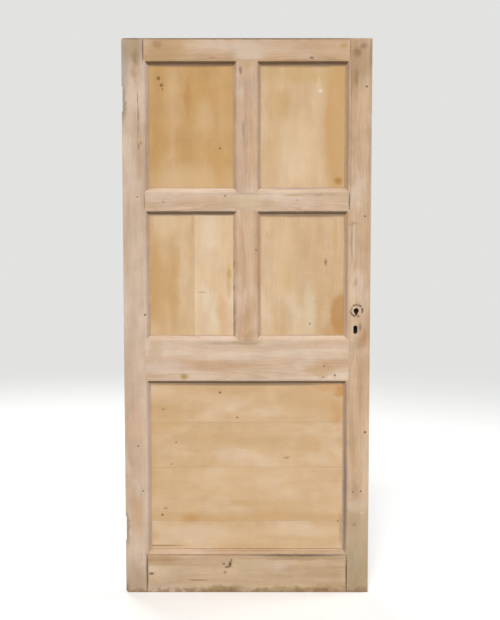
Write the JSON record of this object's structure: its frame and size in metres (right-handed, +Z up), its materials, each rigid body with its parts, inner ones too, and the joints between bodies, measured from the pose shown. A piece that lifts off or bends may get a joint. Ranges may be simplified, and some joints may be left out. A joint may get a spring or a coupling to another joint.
{
  "type": "panelled front door",
  "caption": "Stripped pine panelled door leaf with stuck mouldings, hinge recesses, and a mortice lock inside its lock stile behind a spindle hole and a keyhole.",
  "frame": {"origin": "middle of the leaf's bottom edge, half way through its thickness", "axes": "+X from the hinge edge to the lock edge, +Y from the pictured face to the other, +Z up"},
  "size_m": [0.89, 0.038, 2.01],
  "materials": {
    "pine_framing": "stripped, dry",
    "pine_panels": "stripped, dry",
    "pine_wedges": "end grain",
    "lock_iron": "dull, rusted",
    "forend_brass": "tarnished",
    "bolt_brass": "tarnished",
    "spring_steel": "oiled",
    "screw_steel": "dull"
  },
  "bodies": {
    "leaf": {"hinge_stile": "pine_framing", "lock_stile": "pine_framing", "top_rail": "pine_framing", "cross_rail": "pine_framing", "lock_rail": "pine_framing", "bottom_rail": "pine_framing", "upper_muntin": "pine_framing", "middle_muntin": "pine_framing", "upper_left_panel": "pine_panels", "upper_right_panel": "pine_panels", "middle_left_outer_board": "pine_panels", "middle_left_inner_board": "pine_panels", "middle_right_panel": "pine_panels", "lower_panel_board_1": "pine_panels", "lower_panel_board_2": "pine_panels", "lower_panel_board_3": "pine_panels", "lower_panel_board_4": "pine_panels", "hinge_stile_wedges": "pine_wedges", "lock_stile_wedges": "pine_wedges", "lock_case": "lock_iron", "lock_cap": "lock_iron", "lock_forend": "forend_brass", "latch_spring": "spring_steel", "bolt_spring": "spring_steel", "cap_screws": "screw_steel", "forend_screws": "screw_steel"},
    "follower": {"lock_follower": "lock_iron"},
    "latch": {"latch_bolt": "bolt_brass"},
    "bolt": {"dead_bolt": "bolt_brass"}
  },
  "joints": [
    {"name": "follower_turn", "type": "hinge", "parent": "leaf", "child": "follower", "pos_m": [0.3945, 0, 1.042], "axis": [0, 1, 0], "range_deg": [0, 30]},
    {"name": "latch_slide", "type": "slide", "parent": "leaf", "child": "latch", "axis": [1, 0, 0], "range_m": [0, 0.011], "deforming": ["latch_spring"]},
    {"name": "dead_bolt_slide", "type": "slide", "parent": "leaf", "child": "bolt", "axis": [1, 0, 0], "range_m": [0, 0.013]}
  ],
  "couplings": [
    {"joint": "follower_turn", "follows": "latch_slide", "rad_per_m": 47.59}
  ]
}
